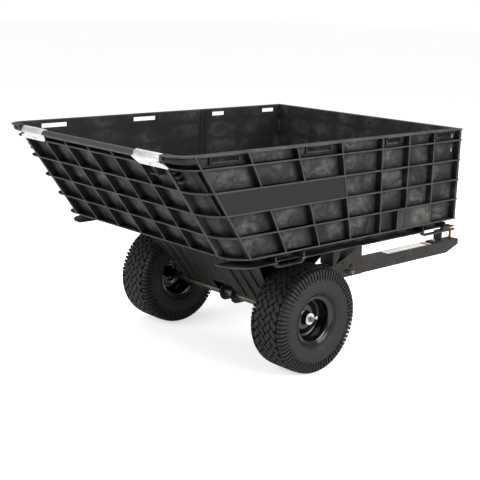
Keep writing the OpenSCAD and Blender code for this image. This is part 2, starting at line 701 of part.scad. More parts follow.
// Turns a profile of [radius, distance out from the wheel's middle] about the left wheel's axis
module on_wheel() { translate([0, wheel_y, axle_z]) rotate([-90, 0, 0]) children(); }
module tyre() {
    r = tyre_d / 2;
    w = tyre_w / 2;
    e = rim_w / 2;
    bead = rim_d / 2 + 0.2;
    right = [[bead, e - 17.5], [bead, e - 11], [bead + 4, e - 8.3], [bead + 13, e - 5.5], [bead + 18, e - 1],
        [bead + 27, w - 9], [r - 66, w - 2.5], [r - 44, w], [r - 24, w - 0.8], [r - 11, w - 3.5],
        [r - 4, w - 10], [r - 1, w - 22], [r, w - 42]];
    inner = [[r - 13, w - 42], [r - 17, w - 24], [r - 27, w - 14], [r - 44, w - 10], [r - 66, w - 12],
        [bead + 27, w - 20], [bead + 12, e - 13.5]];
    left = [for (i = [len(right) - 1:-1:0]) [right[i][0], -right[i][1]]];
    inner_left = [for (i = [len(inner) - 1:-1:0]) [inner[i][0], -inner[i][1]]];
    on_wheel() rotate_extrude($fn = 128) polygon(concat(right, left, inner_left, inner));
}
module rim() {
    seat = rim_d / 2;
    lip = seat + 16.4;
    edge = rim_w / 2;
    outside = [[lip, edge], [lip, edge - 2.5], [lip - 3.6, edge - 5], [seat + 3, edge - 7.5], [seat, edge - 10]];
    inside = [[seat - 3, edge - 9], [seat, edge - 5], [lip - 5.6, edge - 2.5], [lip - 2.6, edge]];
    back = function(list) [for (i = [len(list) - 1:-1:0]) [list[i][0], -list[i][1]]];
    on_wheel() difference() {
        union() {
            rotate_extrude($fn = 128)
                polygon(concat(outside, back(outside), back(inside), inside));
            rotate_extrude($fn = 96) polygon([[seat - 2, 4], [62, 4], [54, 14], [40, 14], [33, 8], [26, 8],
                [hub_r - 1, 20], [hub_r - 1, 24], [28, 11.5], [32, 11.5], [39, 17.5], [55, 17.5],
                [63, 7.5], [seat - 2, 7.5]]);
            translate([0, 0, -hub_in]) cylinder(r = hub_r, h = hub_in + hub_out);
        }
        translate([0, 0, -hub_in - 1]) cylinder(r = bush_r + 0.05, h = hub_in + hub_out + 2);
        valve_axis() cylinder(r = 3.7, h = 40);
    }
}
module valve_axis() { rotate([0, 0, 200]) translate([seat_in, 0, 34]) rotate([0, 90, 0]) children(); }
seat_in = rim_d / 2 - 22;
module valve() {
    on_wheel() valve_axis() {
        cylinder(r = 3.5, h = 21.5);
        cylinder(r = 4.6, h = 6);
        translate([0, 0, 12]) cylinder(r = 5.2, h = 6.5);
    }
}
module bushes() {
    on_wheel() for (side = [[-hub_in - flange_t, 0], [hub_out - 24, 24]]) translate([0, 0, side[0]])
        difference() {
            union() {
                cylinder(r = bush_r, h = 24 + flange_t);
                translate([0, 0, side[1]]) cylinder(r = bush_r + 4, h = flange_t);
            }
            translate([0, 0, -1]) cylinder(r = axle_r + run_fit, h = 40);
        }
}
module tyre_left() { color("#2a2a2a") tyre(); }
module rim_left() { color("#111112") rim(); }
module bushes_left() { color("#26262a") bushes(); }
module valve_left() { color("#1a1a1a") valve(); }
module tyre_right() { color("#2a2a2a") mirror([0, 1, 0]) tyre(); }
module rim_right() { color("#111112") mirror([0, 1, 0]) rim(); }
module bushes_right() { color("#26262a") mirror([0, 1, 0]) bushes(); }
module valve_right() { color("#1a1a1a") mirror([0, 1, 0]) valve(); }

to_row() bed_base();
to_row() hand_loops();
to_row() side_wall_left();
to_row() side_wall_right();
to_row() front_panel();
to_row() tailgate();
to_row() tailgate_tube();
to_row() tailgate_bracket_left();
to_row() tailgate_bracket_right();
to_row() tailgate_bolts();
to_row() badge_left();
to_row() badge_right();
to_row() corner_hinge_pins();
to_row() wall_screws();
to_row() rear_carrier();
to_row() front_carrier();
to_row() carrier_braces();
to_row() carrier_sleeves();
to_row() carrier_bolts();
to_row() latch_post();
to_row() latch_post_bolts();
to_row() latch_lever();
to_row() latch_lever_pin();
to_row() latch_spring();
to_row() drawbar_bracket();
to_row() striker_pin();
to_row() drawbar();
to_row() drawbar_bolts();
to_row() drawbar_label();
to_row() hitch_bracket();
to_row() hitch_bracket_bolts();
to_row() hitch_pin();
to_row() lock_pin();
to_row() lock_clip();
to_row() axle();
to_row() axle_spacers();
to_row() axle_washers();
to_row() split_pin_left();
to_row() split_pin_right();
to_row() tyre_left();
to_row() rim_left();
to_row() bushes_left();
to_row() valve_left();
to_row() tyre_right();
to_row() rim_right();
to_row() bushes_right();
to_row() valve_right();
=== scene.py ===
import json
import math

import bmesh
import bpy
from mathutils import Matrix, Vector

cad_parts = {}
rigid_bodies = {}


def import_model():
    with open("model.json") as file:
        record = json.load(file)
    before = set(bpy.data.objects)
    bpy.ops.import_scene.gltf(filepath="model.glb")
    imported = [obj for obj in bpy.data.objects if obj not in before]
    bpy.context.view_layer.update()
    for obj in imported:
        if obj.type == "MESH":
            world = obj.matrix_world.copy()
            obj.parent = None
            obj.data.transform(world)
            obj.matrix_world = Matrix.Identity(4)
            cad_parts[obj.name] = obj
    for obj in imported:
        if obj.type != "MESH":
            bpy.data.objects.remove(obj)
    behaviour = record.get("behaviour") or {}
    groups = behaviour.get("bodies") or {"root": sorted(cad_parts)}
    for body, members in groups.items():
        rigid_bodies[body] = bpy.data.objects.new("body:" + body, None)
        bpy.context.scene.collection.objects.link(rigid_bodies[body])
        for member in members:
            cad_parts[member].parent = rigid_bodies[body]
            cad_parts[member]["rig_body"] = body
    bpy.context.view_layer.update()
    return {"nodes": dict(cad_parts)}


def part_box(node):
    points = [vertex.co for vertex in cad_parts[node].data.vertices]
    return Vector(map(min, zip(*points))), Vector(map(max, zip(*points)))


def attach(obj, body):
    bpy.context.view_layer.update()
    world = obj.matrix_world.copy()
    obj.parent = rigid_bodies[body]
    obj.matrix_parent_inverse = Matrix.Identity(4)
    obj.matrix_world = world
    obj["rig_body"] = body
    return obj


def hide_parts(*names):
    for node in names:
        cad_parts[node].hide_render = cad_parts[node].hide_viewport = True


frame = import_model()
nodes = frame["nodes"]

MM = 0.001
# From the cart's middle, where the frame has its origin, to the axle
AXLE_X = sum(corner.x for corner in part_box("tyre_left")) / 2


def place(x, y, z):
    """A point given in millimetres, from the ground under the axle."""
    return Vector((AXLE_X + x * MM, y * MM, z * MM))


# ---- Node helpers ----------------------------------------------------------------------------
def linear(code):
    """A screen colour such as #1f2022 as the linear colour that the shader wants."""
    parts = [int(code[i:i + 2], 16) / 255 for i in (1, 3, 5)]
    return tuple(c / 12.92 if c <= 0.04045 else ((c + 0.055) / 1.055) ** 2.4 for c in parts) + (1.0,)


def add(tree, kind, inputs=None, **settings):
    """Adds a node, sets what it is told to and links or fills its inputs."""
    node = tree.nodes.new(kind)
    for name, value in settings.items():
        setattr(node, name, value)
    for key, value in (inputs or {}).items():
        if isinstance(value, bpy.types.NodeSocket):
            tree.links.new(value, node.inputs[key])
        else:
            node.inputs[key].default_value = value
    return node


def blank(name, **shader):
    """A material with one shader, its even values set, and the place on the piece in metres."""
    material = bpy.data.materials.new(name)
    material.use_nodes = True
    tree = material.node_tree
    skin = tree.nodes["Principled BSDF"]
    for key, value in shader.items():
        skin.inputs[key.replace("_", " ")].default_value = value
    return material, tree, skin, add(tree, "ShaderNodeTexCoord").outputs["Object"]


def calc(tree, operation, *values, clamp=False):
    return add(tree, "ShaderNodeMath", dict(enumerate(values)), operation=operation,
        use_clamp=clamp).outputs[0]


def clouds(tree, place_on, size_mm, detail=3.0, rough=0.5, twist=0.0, stretch=(1, 1, 1)):
    """Noise whose lumps are about size_mm across."""
    moved = add(tree, "ShaderNodeMapping", {"Vector": place_on, "Scale": stretch})
    return add(tree, "ShaderNodeTexNoise", {"Vector": moved.outputs[0], "Scale": 1 / (size_mm * MM),
        "Detail": detail, "Roughness": rough, "Distortion": twist}).outputs["Fac"]


def between(tree, value, low, high, to_low=0.0, to_high=1.0):
    return add(tree, "ShaderNodeMapRange", {"Value": value, "From Min": low, "From Max": high,
        "To Min": to_low, "To Max": to_high}, interpolation_type="SMOOTHSTEP").outputs[0]


def blend(tree, factor, a, b):
    node = add(tree, "ShaderNodeMix", data_type="RGBA")
    for key, value in ((0, factor), (6, a), (7, b)):
        if isinstance(value, bpy.types.NodeSocket):
            tree.links.new(value, node.inputs[key])
        else:
            node.inputs[key].default_value = value
    return node.outputs[2]


def grain(tree, skin, height, depth_mm, strength=1.0):
    bump = add(tree, "ShaderNodeBump", {"Height": height, "Distance": depth_mm * MM, "Strength": strength})
    tree.links.new(bump.outputs[0], skin.inputs["Normal"])


# ---- Finishes --------------------------------------------------------------------------------
WALL_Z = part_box("side_wall_left")[0].z
ROW_PITCH = 75.6 * MM
WALL_ROWS = 302.3 * MM


def moulded_polyethylene(name, end_wall):
    """Black structural-foam polyethylene: each cell has a pale, swirled bloom from the mould. A painted sheen
    makes the bloom brighter in the middle of each cell, and painted shade makes it dimmer at the cell borders
    and on the rib sides.
    The edges of the ribs are rubbed grey."""
    material, tree, skin, here = blank(name, Specular_IOR_Level=0.24, IOR=1.51)
    axes = add(tree, "ShaderNodeSeparateXYZ", {0: here}).outputs
    height = calc(tree, "SUBTRACT", axes["Z"], WALL_Z)
    row = calc(tree, "FRACT", calc(tree, "DIVIDE", height, ROW_PITCH))
    if end_wall:
        cell = calc(tree, "FRACT", calc(tree, "DIVIDE", axes["Y"], 131 * MM))
    else:
        rise = calc(tree, "DIVIDE", height, WALL_ROWS)
        along = calc(tree, "ADD", axes["X"], (372 * MM) - AXLE_X)
        shifted = calc(tree, "MULTIPLY_ADD", rise, 212 * MM, along)
        width = calc(tree, "MULTIPLY_ADD", rise, 50 * MM, 156 * MM)
        cell = calc(tree, "FRACT", calc(tree, "DIVIDE", shifted, width))
    # painted sheen and shade: a hump that makes each cell lighter in its middle and darker at its borders by
    # the ribs
    sheen_humps = [calc(tree, "MULTIPLY", calc(tree, "MULTIPLY", part, 4.0), calc(tree, "SUBTRACT", 1.0, part))
            for part in (row, cell)]
    middle = calc(tree, "MULTIPLY", *sheen_humps)
    outside = add(tree, "ShaderNodeAttribute", attribute_name="outside").outputs["Fac"]
    proud = add(tree, "ShaderNodeAttribute", attribute_name="proud").outputs["Fac"]
    # flow marks of the foam, a hand's width long, and the finer swirls inside them
    flow = clouds(tree, here, 120, detail=3, rough=0.55, twist=0.7)
    swirl = clouds(tree, here, 38, detail=5, rough=0.6, twist=1.1, stretch=(1, 1, 1.4))
    haze = calc(tree, "MULTIPLY", between(tree, flow, 0.3, 0.72), between(tree, swirl, 0.22, 0.8))
    haze_in_painted_sheen = calc(tree, "MULTIPLY", haze, between(tree, middle, 0.05, 0.75))
    bloom_and_painted_sheen = calc(tree, "MULTIPLY_ADD", haze_in_painted_sheen, 0.95, calc(tree, "MULTIPLY", haze, 0.3))
    # painted shade: the bloom is dimmed to 0.4 on the rib sides and kept whole on faces turned outward
    bloom = calc(tree, "MULTIPLY", bloom_and_painted_sheen, calc(tree, "MULTIPLY_ADD", outside, 0.6, 0.4))
    base = blend(tree, clouds(tree, here, 260), linear("#121213"), linear("#1b1b1c"))
    tone_with_painted_sheen = blend(tree, bloom, base, linear("#615f5c"))
    rubbed = between(tree, clouds(tree, here, 34), 0.2, 0.7, 0.35, 0.8)
    worn = calc(tree, "MULTIPLY", between(tree, proud, 0.86, 1.0), rubbed)
    colour = blend(tree, worn, tone_with_painted_sheen, linear("#4a4846"))
    tree.links.new(colour, skin.inputs["Base Color"])
    tree.links.new(between(tree, swirl, 0.2, 0.8, 0.5, 0.66), skin.inputs["Roughness"])
    # fine leather-like mould grain, drawn at 1.6 mm so that it shows
    grain(tree, skin, clouds(tree, here, 1.6, detail=2), 0.12, 0.6)
    return material


def smooth_plate():
    """Badge plate: the same plastic from a polished part of the mould, so it is dark and even
    between the clouded cells, with a soft sheen."""
    material, tree, skin, here = blank("badge_polished_plastic", Specular_IOR_Level=0.26)
    colour = blend(tree, clouds(tree, here, 60, detail=4), linear("#111113"), linear("#171719"))
    tree.links.new(colour, skin.inputs["Base Color"])
    tree.links.new(between(tree, clouds(tree, here, 18), 0.2, 0.8, 0.42, 0.55), skin.inputs["Roughness"])
    grain(tree, skin, clouds(tree, here, 2.5), 0.05, 0.4)
    return material


def powder_coat(name, dark, light, dust="#5d554c"):
    """Polyester powder coat on folded steel: satin, orange-peel skin about 2 mm across, with a
    thin brown dust in places."""
    material, tree, skin, here = blank(name, Specular_IOR_Level=0.34)
    tone = blend(tree, clouds(tree, here, 120, detail=3), linear(dark), linear(light))
    dusty = calc(tree, "MULTIPLY", between(tree, clouds(tree, here, 48, detail=6, rough=0.7), 0.52, 0.8), 0.3)
    tree.links.new(blend(tree, dusty, tone, linear(dust)), skin.inputs["Base Color"])
    tree.links.new(between(tree, clouds(tree, here, 30), 0.2, 0.8, 0.34, 0.5), skin.inputs["Roughness"])
    grain(tree, skin, clouds(tree, here, 2.2, detail=1), 0.09, 0.5)
    return material


def gloss_enamel():
    """Baked black enamel on the pressed steel rims: deep gloss that mirrors the lights, with a
    faint ripple over the pressing."""
    material, tree, skin, here = blank("rim_gloss_enamel", Specular_IOR_Level=0.45, Coat_Weight=0.25,
        Coat_Roughness=0.06)
    tone = blend(tree, clouds(tree, here, 45), linear("#050506"), linear("#0a0a0b"))
    tree.links.new(tone, skin.inputs["Base Color"])
    gloss = between(tree, clouds(tree, here, 25, detail=4), 0.2, 0.8, 0.14, 0.24)
    tree.links.new(gloss, skin.inputs["Roughness"])
    grain(tree, skin, clouds(tree, here, 9, detail=1), 0.05, 0.35)
    return material


def plated(name, dark, light, rough, streak_mm=14, **shader):
    """Electroplated zinc on rolled steel: bright, with faint drawn streaks and cloudy passivation."""
    material, tree, skin, here = blank(name, Metallic=1.0, **shader)
    cloud = clouds(tree, here, streak_mm, detail=5, rough=0.6, stretch=(0.5, 1, 1))
    tree.links.new(blend(tree, between(tree, cloud, 0.3, 0.7), linear(dark), linear(light)),
        skin.inputs["Base Color"])
    fine = clouds(tree, here, 2.4, detail=3, stretch=(0.15, 1, 1))
    tree.links.new(between(tree, fine, 0.2, 0.8, rough - 0.06, rough + 0.08), skin.inputs["Roughness"])
    grain(tree, skin, fine, 0.03, 0.4)
    return material


def tyre_rubber(name="tyre_rubber", dark="#141312", light="#23211f"):
    """Vulcanised carbon-black rubber: dull charcoal with a grey dusty bloom and a fine pebble."""
    material, tree, skin, here = blank(name, Specular_IOR_Level=0.38, IOR=1.52)
    bloom = between(tree, clouds(tree, here, 42, detail=5, rough=0.62, twist=0.4), 0.35, 0.72)
    tree.links.new(blend(tree, bloom, linear(dark), linear(light)), skin.inputs["Base Color"])
    tree.links.new(between(tree, bloom, 0.0, 1.0, 0.58, 0.74), skin.inputs["Roughness"])
    grain(tree, skin, clouds(tree, here, 2.0, detail=2), 0.12, 0.5)
    return material


def vinyl_label(low, high):
    """Printed vinyl sticker: white with a red band and pale grey panels, slightly glossy. The
    panels stand for printing and hold no words."""
    material, tree, skin, here = blank("label_vinyl", Specular_IOR_Level=0.5, Roughness=0.38)
    axes = add(tree, "ShaderNodeSeparateXYZ", {0: here}).outputs
    share = calc(tree, "DIVIDE", calc(tree, "SUBTRACT", axes["X"], low), high - low)

    def band(a, b):
        return calc(tree, "MULTIPLY", calc(tree, "GREATER_THAN", share, a), calc(tree, "LESS_THAN", share, b))

    lines = calc(tree, "GREATER_THAN", calc(tree, "FRACT", calc(tree, "DIVIDE", axes["Y"], 5.5 * MM)), 0.62)
    panels = calc(tree, "ADD", band(0.06, 0.4), band(0.48, 0.84))
    paper = blend(tree, clouds(tree, here, 30), linear("#d8d5d0"), linear("#e6e3de"))
    ink = calc(tree, "MULTIPLY", calc(tree, "MULTIPLY", panels, lines), 0.42)
    printed = blend(tree, ink, paper, linear("#6e6a66"))
    tree.links.new(blend(tree, band(0.885, 0.975), printed, linear("#a8483c")), skin.inputs["Base Color"])
    grain(tree, skin, clouds(tree, here, 12), 0.03, 0.3)
    return material


side_plastic = moulded_polyethylene("tub_side_polyethylene", end_wall=False)
end_plastic = moulded_polyethylene("tub_end_polyethylene", end_wall=True)
badge_plate = smooth_plate()
frame_coat = powder_coat("underframe_powder_coat", "#15120f", "#1f1b18")
bar_coat = powder_coat("drawbar_powder_coat", "#181512", "#24201d")
tube_coat = powder_coat("tube_grey_enamel", "#2e2e30", "#38383a", dust="#4a4a4a")
rim_enamel = gloss_enamel()
zinc = plated("bright_zinc_plate", "#dadad7", "#e8e8e6", 0.5, streak_mm=32)
yellow_zinc = plated("yellow_zinc_plate", "#b39a5e", "#d6c08a", 0.36, streak_mm=8)
turned_steel = plated("turned_steel", "#6b6762", "#8b8782", 0.4)
spring_wire = plated("oiled_spring_wire", "#47474a", "#616164", 0.42)
rubber = tyre_rubber()
valve_rubber = tyre_rubber("valve_rubber", "#151515", "#1f1f1f")
nylon = powder_coat("bush_nylon", "#1c1c20", "#26262b", dust="#3c3c3e")
black_oxide = plated("black_oxide_steel", "#26262a", "#3a3a3f", 0.45)
label_lo, label_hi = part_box("drawbar_label")
label = vinyl_label(label_lo.x, label_hi.x)

NODE_FINISH = {
    "hand_loops": end_plastic, "corner_hinge_pins": end_plastic,
    "badge_left": badge_plate, "badge_right": badge_plate,
    "tailgate_tube": tube_coat, "drawbar_label": label, "latch_spring": spring_wire,
    "drawbar_bolts": black_oxide, "lock_pin": black_oxide,
}
for node_name in ("bed_base", "side_wall_left", "side_wall_right"):
    NODE_FINISH[node_name] = side_plastic
for node_name in ("front_panel", "tailgate"):
    NODE_FINISH[node_name] = end_plastic
for node_name in ("rear_carrier", "front_carrier", "carrier_braces", "latch_post", "latch_lever",
        "striker_pin"):
    NODE_FINISH[node_name] = frame_coat
for node_name in ("drawbar_bracket", "drawbar", "hitch_bracket"):
    NODE_FINISH[node_name] = bar_coat
for node_name in ("tailgate_bracket_left", "tailgate_bracket_right", "tailgate_bolts", "axle_washers",
        "split_pin_left", "split_pin_right", "hitch_bracket_bolts", "carrier_bolts", "latch_post_bolts",
        "wall_screws", "latch_lever_pin"):
    NODE_FINISH[node_name] = zinc
for node_name in ("hitch_pin", "lock_clip"):
    NODE_FINISH[node_name] = yellow_zinc
for node_name in ("axle", "axle_spacers", "carrier_sleeves"):
    NODE_FINISH[node_name] = turned_steel
for side in ("left", "right"):
    NODE_FINISH["tyre_" + side] = rubber
    NODE_FINISH["rim_" + side] = rim_enamel
    NODE_FINISH["bushes_" + side] = nylon
    NODE_FINISH["valve_" + side] = valve_rubber
for node_name, finish in NODE_FINISH.items():
    nodes[node_name].data.materials.clear()
    nodes[node_name].data.materials.append(finish)


# ---- Mesh helpers ----------------------------------------------------------------------------
def piece(name, mesh, finish):
    thing = bpy.data.objects.new(name, mesh)
    bpy.context.scene.collection.objects.link(thing)
    mesh.materials.clear()
    mesh.materials.append(finish)
    return thing


def soft_edges(thing, width_mm, angle=35, segments=2):
    bevel = thing.modifiers.new("worn_edges", "BEVEL")
    bevel.width = width_mm * MM
    bevel.segments = segments
    bevel.limit_method = "ANGLE"
    bevel.angle_limit = math.radians(angle)
    bevel.harden_normals = True
    bevel.use_clamp_overlap = True


def merged(node_name):
    """A copy of a CAD node's mesh whose triangles share their corners and whose flats are whole."""
    build = bmesh.new()
    build.from_mesh(nodes[node_name].data)
    bmesh.ops.remove_doubles(build, verts=build.verts, dist=0.02 * MM)
    bmesh.ops.dissolve_limit(build, angle_limit=math.radians(0.4), verts=build.verts, edges=build.edges)
    return build


def finished(build, name, angle=30):
    mesh = bpy.data.meshes.new(name)
    build.to_mesh(mesh)
    build.free()
    mesh.polygons.foreach_set("use_smooth", [True] * len(mesh.polygons))
    mesh.set_sharp_from_angle(angle=math.radians(angle))
    return mesh


# ---- Tub shells ------------------------------------------------------------------------------
HALF_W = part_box("side_wall_left")[1].y
RIM_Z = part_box("side_wall_left")[1].z
FRONT_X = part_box("front_panel")[1].x
TAIL_LEAN = math.radians(35.3)
RIB_DEPTH = 24 * MM
CORNER_R = 68 * MM
slope_out = Vector((-math.cos(TAIL_LEAN), 0, -math.sin(TAIL_LEAN)))
# The foot of the tailgate's rib edges, in millimetres from the axle
TAIL_FOOT_X = -428.0
slope_start = place(TAIL_FOOT_X, 0, WALL_Z / MM)


def depth_in(kind, point):
    """How far a point lies behind the envelope of the rib edges."""
    behind = (slope_start - point).dot(slope_out)
    if kind == "front":
        return FRONT_X - point.x
    if kind == "tailgate":
        return behind
    beside = HALF_W - abs(point.y)
    if behind < CORNER_R and beside < CORNER_R:
        return CORNER_R - math.hypot(CORNER_R - behind, CORNER_R - beside)
    return min(behind, beside)


def tub_shell(node_name, kind, edge_mm):
    build = merged(node_name)
    proud = build.verts.layers.float.new("proud")
    outside = build.faces.layers.float.new("outside")
    for vert in build.verts:
        vert[proud] = 1 - min(max(depth_in(kind, vert.co), 0) / RIB_DEPTH, 1)
    for face in build.faces:
        middle = face.calc_center_median()
        ahead = middle + face.normal * MM
        face[outside] = 1.0 if depth_in(kind, ahead) < depth_in(kind, middle) - 0.3 * MM else 0.0
    shell = piece(node_name + "_shell", finished(build, node_name), NODE_FINISH[node_name])
    soft_edges(shell, edge_mm)
    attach(shell, nodes[node_name]["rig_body"])
    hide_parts(node_name)
    return shell


tub_shell("side_wall_left", "side", 0.9)
tub_shell("side_wall_right", "side", 0.9)
tub_shell("front_panel", "front", 0.9)
tub_shell("tailgate", "tailgate", 0.9)
tub_shell("bed_base", "side", 0.7)


# ---- Rear corners ----------------------------------------------------------------------------
SEAM_Y = HALF_W / MM - 94
RIB_FOOT_X = -372.0
# How far back the first upright rib leans for each millimetre that it rises
RIB_LEAN = 212 / 302.3


def solid_from(name, rings, node_name):
    """A closed piece skinned over rings of points, riding with a CAD node in its finish."""
    build = bmesh.new()
    loops = [[build.verts.new(point) for point in ring] for ring in rings]
    for a, b in zip(loops, loops[1:]):
        for i in range(len(a)):
            j = (i + 1) % len(a)
            build.faces.new((a[i], a[j], b[j], b[i]))
    build.faces.new(loops[0])
    build.faces.new(loops[-1][::-1])
    bmesh.ops.recalc_face_normals(build, faces=build.faces)
    thing = piece(name, finished(build, name), NODE_FINISH[node_name])
    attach(thing, nodes[node_name]["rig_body"])
    return thing


def corner_bead(side_name, side):
    """The rounded bead that carries the tube's line round a rear corner of the rim."""
    thick, bend, run_out = 12.5, 46, 5
    z = RIM_Z / MM - thick - 0.6
    x = TAIL_FOOT_X - (z - WALL_Z / MM) * math.tan(TAIL_LEAN) + (thick + 2) / math.cos(TAIL_LEAN)
    y = HALF_W / MM - thick - 1
    path = [(x, SEAM_Y + 1, thick, 0)]
    path += [(x + bend - bend * math.cos(math.radians(a)), y - bend + bend * math.sin(math.radians(a)),
        thick, a) for a in range(0, 91, 6)]
    path += [(x + bend + 10 * k, y, thick - (thick - run_out) * k / 4, 90) for k in range(1, 5)]
    rings = []
    for px, py, r, a in path:
        out = Vector((-math.cos(math.radians(a)), side * math.sin(math.radians(a)), 0)) * r * MM
        lift = Vector((0, 0, r * MM))
        rings.append([place(px, side * py, z) + out * math.cos(t) + lift * math.sin(t)
            for t in (2 * math.pi * k / 24 for k in range(24))])
    solid_from("rim_corner_bead_" + side_name, rings, "side_wall_" + side_name)


def rib_foot(name, side_name, side, foot_x, low, high, near, far):
    """Fills in behind a rib where the skin curves away from it into the corner."""
    rings = []
    for z in (low, high):
        x = foot_x - (z - WALL_Z / MM) * RIB_LEAN
        rings.append([place(x + dx, side * (HALF_W / MM - dy), z)
            for dx, dy in ((0.5, near), (3.5, near), (3.5, far), (0.5, far))])
    solid_from(name + side_name, rings, "side_wall_" + side_name)


for side_name, side in (("left", 1), ("right", -1)):
    corner_bead(side_name, side)
    row_2, row_4 = (WALL_Z / MM + k * ROW_PITCH / MM for k in (2, 4))
    rib_foot("corner_ridge_foot_", side_name, side, RIB_FOOT_X - 17, row_2 + 1, row_4 + 1, 8, 43)
    rib_foot("corner_rib_foot_", side_name, side, RIB_FOOT_X, WALL_Z / MM + 1, RIM_Z / MM - 5, 3, 31.5)

# Folded and sawn steel shows a bright line along its edges
for node_name in ("rear_carrier", "front_carrier", "carrier_braces", "latch_post", "latch_lever",
        "drawbar_bracket", "drawbar", "hitch_bracket", "tailgate_bracket_left", "tailgate_bracket_right",
        "tailgate_bolts", "badge_left", "badge_right", "hand_loops", "carrier_bolts", "hitch_bracket_bolts",
        "drawbar_bolts", "axle_washers", "hitch_pin"):
    weld = nodes[node_name].modifiers.new("joined_faces", "WELD")
    weld.merge_threshold = 0.02 * MM
    soft_edges(nodes[node_name], 0.5, angle=40, segments=1)


# ---- Wheels ----------------------------------------------------------------------------------
def rounded(path, times=2, closed=False):
    """Cuts the corners of a path, so that a turned profile bends like pressed steel or rubber."""
    for _ in range(times):
        fresh = [] if closed else [path[0]]
        pairs = list(zip(path, path[1:] + path[:1])) if closed else list(zip(path, path[1:]))
        for a, b in pairs:
            fresh += [tuple(share * p + (1 - share) * q for p, q in zip(a, b)) for share in (0.75, 0.25)]
        path = fresh if closed else fresh + [path[-1]]
    return path


def thickened(path, wall):
    """A closed outline: the path and its copy a wall's thickness to its left."""
    back = []
    for i, (r, y) in enumerate(path):
        r0, y0 = path[max(i - 1, 0)]
        r1, y1 = path[min(i + 1, len(path) - 1)]
        length = math.hypot(r1 - r0, y1 - y0) or 1
        back.append((r - (y1 - y0) / length * wall, y + (r1 - r0) / length * wall))
    return path + back[::-1]


def turned(name, outline, centre, side, finish, segments=128, angle=30):
    """Turns a closed outline of (radius, distance out) in millimetres about the wheel's axis."""
    build = bmesh.new()
    rings = []
    for k in range(segments):
        turn = 2 * math.pi * k / segments
        rings.append([build.verts.new(centre + Vector((r * MM * math.sin(turn), side * y * MM,
            r * MM * math.cos(turn)))) for r, y in outline])
    for a, b in zip(rings, rings[1:] + rings[:1]):
        for i in range(len(outline)):
            j = (i + 1) % len(outline)
            build.faces.new((a[i], a[j], b[j], b[i]))
    bmesh.ops.recalc_face_normals(build, faces=build.faces)
    return piece(name, finished(build, name, angle), finish)


TREAD_R = 192.0
LUG_COUNT = 38
TREAD_DEPTH = 8.0
# The tyre's outside from the crown to the bead, as (radius, distance out)
tyre_outside = [(192, 0), (192, 38), (191, 58), (188, 70), (181, 76.5), (168, 79.2), (148, 80), (126, 77.5),
    (103.4, 71), (94.4, 61), (89.4, 56.5), (80.4, 53.7), (76.6, 51)]
smooth_outside = rounded(tyre_outside, 3)


def outward(path, i):
    """The direction square to a profile, away from the tyre."""
    r0, y0 = path[max(i - 1, 0)]
    r1, y1 = path[min(i + 1, len(path) - 1)]
    length = math.hypot(r1 - r0, y1 - y0)
    return (y1 - y0) / length, -(r1 - r0) / length


def groove_depth(radius):
    """The tread's grooves run out on the sidewall."""
    return TREAD_DEPTH * min(max((radius - 144) / 18, 0), 1)


def carcass_outline():
    half = []
    for i, (r, y) in enumerate(smooth_outside):
        nr, ny = outward(smooth_outside, i)
        sink = groove_depth(r) + 0.25
        half.append((r - nr * sink, y - ny * sink))
    # moulded rings on the sidewall, half a millimetre high
    rings = []
    for r, y in half:
        lift = sum(0.9 * max(0, 1 - abs(r - at) / 1.6) for at in (139, 121, 99))
        rings.append((r, y + lift - 0.7 * (r < 142)))
    inner = [(77, 44.5), (88, 50), (104, 61), (126, 67.5), (148, 70), (164, 66), (174, 57), (179, 38),
        (179, 0)]
    near = rings + inner
    far = [(r, -y) for r, y in near[::-1]]
    return near[:-1] + far[:-1]


def dense(path, step):
    """Adds points to a path so that none lie further apart than step."""
    out = [path[0]]
    for a, b in zip(path, path[1:]):
        parts = max(1, math.ceil(math.dist(a, b) / step))
        out += [tuple(p + (q - p) * k / parts for p, q in zip(a, b)) for k in range(1, parts + 1)]
    return out


smooth_outside = dense(smooth_outside, 1.6)


def crown(y):
    """The tread's radius at a distance from the wheel's middle."""
    for (r0, y0), (r1, y1) in zip(smooth_outside, smooth_outside[1:]):
        if y0 <= abs(y) <= y1:
            return r0 + (r1 - r0) * (abs(y) - y0) / (y1 - y0 or 1)
    return TREAD_R


def on_tread(along, y, radius):
    turn = along / TREAD_R
    return Vector((radius * math.sin(turn), y, radius * math.cos(turn))) * MM


def tread_pitch():
    """One pitch of the tread's middle: four S-shaped blocks side by side."""
    build = bmesh.new()
    pitch = 2 * math.pi * TREAD_R / LUG_COUNT
    for middle, phase, sway in ((-40.5, 0.0, 1), (-13.5, 0.5, -1), (13.5, 0.0, 1), (40.5, 0.5, -1)):
        half_y, half_s, cuts = 11.6, 12.4, 8
        top, foot = {}, {}
        for i in range(cuts + 1):
            for j in range(cuts + 1):
                u, v = 2 * i / cuts - 1, 2 * j / cuts - 1
                along = half_s * u + sway * 7.5 * math.sin(v * math.pi)
                across = half_y * v + 2.8 * sway * math.sin(u * math.pi)
                y = middle + across
                along += phase * pitch
                top[i, j] = build.verts.new(on_tread(along, y, crown(y) - 0.2))
                if i in (0, cuts) or j in (0, cuts):
                    foot[i, j] = build.verts.new(
                        on_tread(along + 0.5 * u, y + 0.5 * v, crown(y) - TREAD_DEPTH - 1))
        for i in range(cuts):
            for j in range(cuts):
                build.faces.new((top[i, j], top[i + 1, j], top[i + 1, j + 1], top[i, j + 1]))
        rim = [(i, 0) for i in range(cuts)] + [(cuts, j) for j in range(cuts)] + \
            [(i, cuts) for i in range(cuts, 0, -1)] + [(0, j) for j in range(cuts, 0, -1)]
        for a, b in zip(rim, rim[1:] + rim[:1]):
            build.faces.new((top[a], foot[a], foot[b], top[b]))
    bmesh.ops.recalc_face_normals(build, faces=build.faces)
    return finished(build, "tread_pitch", 40)


